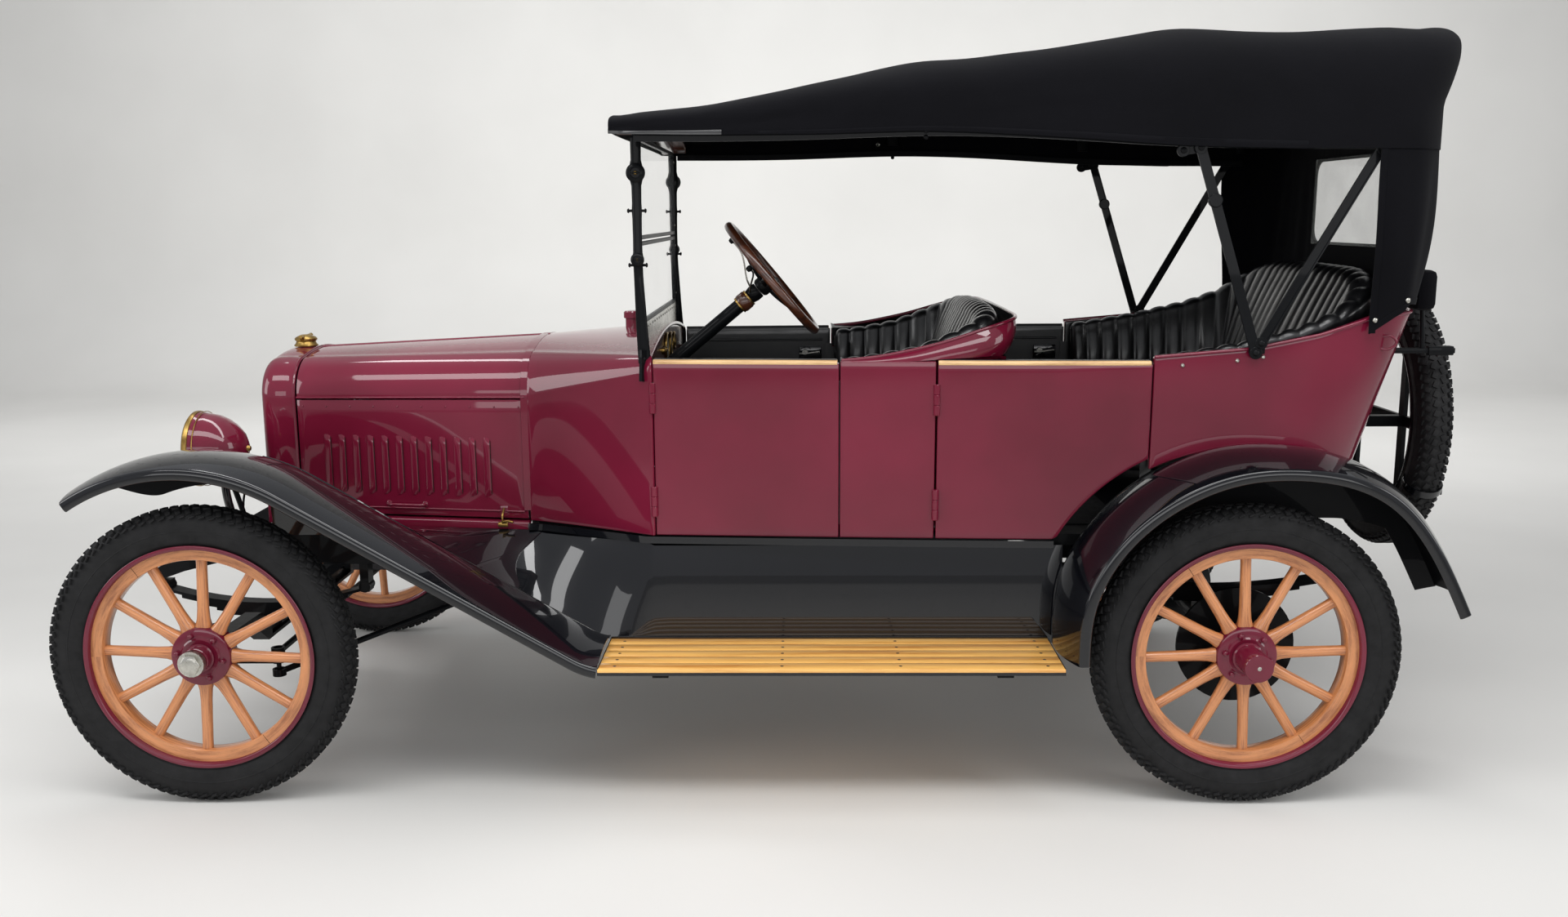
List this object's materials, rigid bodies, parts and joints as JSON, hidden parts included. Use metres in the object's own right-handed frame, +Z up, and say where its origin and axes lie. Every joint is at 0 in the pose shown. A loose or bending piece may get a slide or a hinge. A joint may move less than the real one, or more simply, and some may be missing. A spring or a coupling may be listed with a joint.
{
  "type": "touring car",
  "caption": "Open touring car of the 1920s with a raised fabric top, wood-spoked wheels, long fenders with running boards, opening doors and hood, and a spare at the rear",
  "frame": {"origin": "on the ground below the middle of the whole car's bounding box", "axes": "X forward, Y to the car's left, Z up"},
  "size_m": [3.6143, 1.66, 1.923],
  "materials": {
    "maroon_paint": "high gloss maroon enamel",
    "black_paint": "gloss black enamel",
    "tyre_rubber": "matt black rubber",
    "spoke_wood": "varnished hardwood",
    "board_wood": "varnished planks",
    "dark_wood": "polished dark wood",
    "black_leather": "padded black leather",
    "black_canvas": "matt coated canvas",
    "pane": "clear plate glass",
    "brass": "polished brass",
    "lens": "clear lamp glass",
    "core_metal": "dark tubes and fins",
    "cast_metal": "cast and painted"
  },
  "bodies": {
    "car": {"chassis_frame": "black_paint", "front_axle": "black_paint", "rear_axle": "black_paint", "leaf_springs": "black_paint", "engine": "cast_metal", "exhaust": "cast_metal", "radiator_shell": "maroon_paint", "radiator_core": "core_metal", "radiator_cap": "brass", "headlamps": "maroon_paint", "headlamp_lenses": "lens", "cowl": "maroon_paint", "hood_sills": "maroon_paint", "instrument_board": "dark_wood", "front_seat_shell": "maroon_paint", "rear_tonneau": "maroon_paint", "floor": "board_wood", "front_fenders": "black_paint", "rear_fenders": "black_paint", "running_boards": "board_wood", "splash_aprons": "black_paint", "front_seat": "black_leather", "rear_seat": "black_leather", "windshield_frame": "black_paint", "windshield_glass": "pane", "soft_top": "black_canvas", "top_frame": "black_paint", "rear_window": "pane", "steering_column": "black_paint", "spare_tyre": "tyre_rubber", "spare_carrier": "maroon_paint"},
    "steering_wheel": {"steering_wheel": "dark_wood"},
    "pitman_arm": {"pitman_arm": "black_paint"},
    "drag_link": {"drag_link": "black_paint"},
    "knuckle_left": {"knuckle_left": "black_paint"},
    "knuckle_right": {"knuckle_right": "black_paint"},
    "tie_rod": {"tie_rod": "black_paint"},
    "front_left_wheel": {"tyre_front_left": "tyre_rubber", "wheel_front_left": "spoke_wood"},
    "front_left_door": {"door_front_left": "maroon_paint"},
    "front_right_wheel": {"tyre_front_right": "tyre_rubber", "wheel_front_right": "spoke_wood"},
    "front_right_door": {"door_front_right": "maroon_paint"},
    "rear_left_wheel": {"tyre_rear_left": "tyre_rubber", "wheel_rear_left": "spoke_wood"},
    "rear_left_door": {"door_rear_left": "maroon_paint"},
    "rear_right_wheel": {"tyre_rear_right": "tyre_rubber", "wheel_rear_right": "spoke_wood"},
    "rear_right_door": {"door_rear_right": "maroon_paint"},
    "hood_top_left": {"hood_top_left": "maroon_paint"},
    "hood_side_left": {"hood_side_left": "maroon_paint"},
    "hood_top_right": {"hood_top_right": "maroon_paint"},
    "hood_side_right": {"hood_side_right": "maroon_paint"}
  },
  "joints": [
    {"name": "steering_turn", "type": "hinge", "parent": "car", "child": "steering_wheel", "pos_m": [0.009, 0.248, 1.289], "axis": [-0.7694, 0, 0.6388], "range_deg": [-150, 150]},
    {"name": "pitman_turn", "type": "hinge", "parent": "car", "child": "pitman_arm", "pos_m": [0.875, 0.248, 0.48], "axis": [0, 0, 1], "range_deg": [-30, 30]},
    {"name": "drag_link_turn", "type": "hinge", "parent": "pitman_arm", "child": "drag_link", "pos_m": [0.725, 0.248, 0.452], "axis": [0, 0, 1], "range_deg": [-30, 30]},
    {"name": "knuckle_left_turn", "type": "hinge", "parent": "car", "child": "knuckle_left", "pos_m": [1.4255, 0.625, 0.381], "axis": [0, 0, 1], "range_deg": [-30, 30]},
    {"name": "knuckle_right_turn", "type": "hinge", "parent": "car", "child": "knuckle_right", "pos_m": [1.4255, -0.625, 0.381], "axis": [0, 0, 1], "range_deg": [-30, 30]},
    {"name": "tie_rod_turn", "type": "hinge", "parent": "knuckle_left", "child": "tie_rod", "pos_m": [1.2755, 0.625, 0.357], "axis": [0, 0, 1], "range_deg": [-30, 30]},
    {"name": "front_left_wheel_spin", "type": "hinge", "parent": "knuckle_left", "child": "front_left_wheel", "pos_m": [1.4255, 0.711, 0.381], "axis": [0, 1, 0], "continuous": true},
    {"name": "front_right_wheel_spin", "type": "hinge", "parent": "knuckle_right", "child": "front_right_wheel", "pos_m": [1.4255, -0.711, 0.381], "axis": [0, 1, 0], "continuous": true},
    {"name": "rear_left_wheel_spin", "type": "hinge", "parent": "car", "child": "rear_left_wheel", "pos_m": [-1.1655, 0.711, 0.381], "axis": [0, 1, 0], "continuous": true},
    {"name": "rear_right_wheel_spin", "type": "hinge", "parent": "car", "child": "rear_right_wheel", "pos_m": [-1.1655, -0.711, 0.381], "axis": [0, 1, 0], "continuous": true},
    {"name": "front_left_door_hinge", "type": "hinge", "parent": "car", "child": "front_left_door", "pos_m": [0.3105, 0.527, 0.86], "axis": [0, 0, -1], "range_deg": [0, 65]},
    {"name": "rear_left_door_hinge", "type": "hinge", "parent": "car", "child": "rear_left_door", "pos_m": [-0.4085, 0.575, 0.86], "axis": [0, 0, -1], "range_deg": [0, 65]},
    {"name": "hood_top_left_hinge", "type": "hinge", "parent": "car", "child": "hood_top_left", "pos_m": [0.67, 0, 1.119], "axis": [0.9987, 0, -0.0514], "range_deg": [0, 80]},
    {"name": "hood_side_left_hinge", "type": "hinge", "parent": "hood_top_left", "child": "hood_side_left", "pos_m": [0.67, 0.343, 0.978], "axis": [0.989, -0.1469, -0.018], "range_deg": [0, 50]},
    {"name": "front_right_door_hinge", "type": "hinge", "parent": "car", "child": "front_right_door", "pos_m": [0.3105, -0.527, 0.86], "axis": [0, 0, 1], "range_deg": [0, 65]},
    {"name": "rear_right_door_hinge", "type": "hinge", "parent": "car", "child": "rear_right_door", "pos_m": [-0.4085, -0.575, 0.86], "axis": [0, 0, 1], "range_deg": [0, 65]},
    {"name": "hood_top_right_hinge", "type": "hinge", "parent": "car", "child": "hood_top_right", "pos_m": [0.67, 0, 1.119], "axis": [-0.9987, 0, 0.0514], "range_deg": [0, 80]},
    {"name": "hood_side_right_hinge", "type": "hinge", "parent": "hood_top_right", "child": "hood_side_right", "pos_m": [0.67, -0.343, 0.978], "axis": [-0.989, -0.1469, 0.018], "range_deg": [0, 50]}
  ],
  "couplings": [
    {"joint": "pitman_turn", "follows": "steering_turn", "ratio": 0.2},
    {"joint": "drag_link_turn", "follows": "steering_turn", "ratio": -0.2},
    {"joint": "knuckle_left_turn", "follows": "steering_turn", "ratio": 0.2},
    {"joint": "knuckle_right_turn", "follows": "steering_turn", "ratio": 0.2},
    {"joint": "tie_rod_turn", "follows": "steering_turn", "ratio": -0.2}
  ]
}
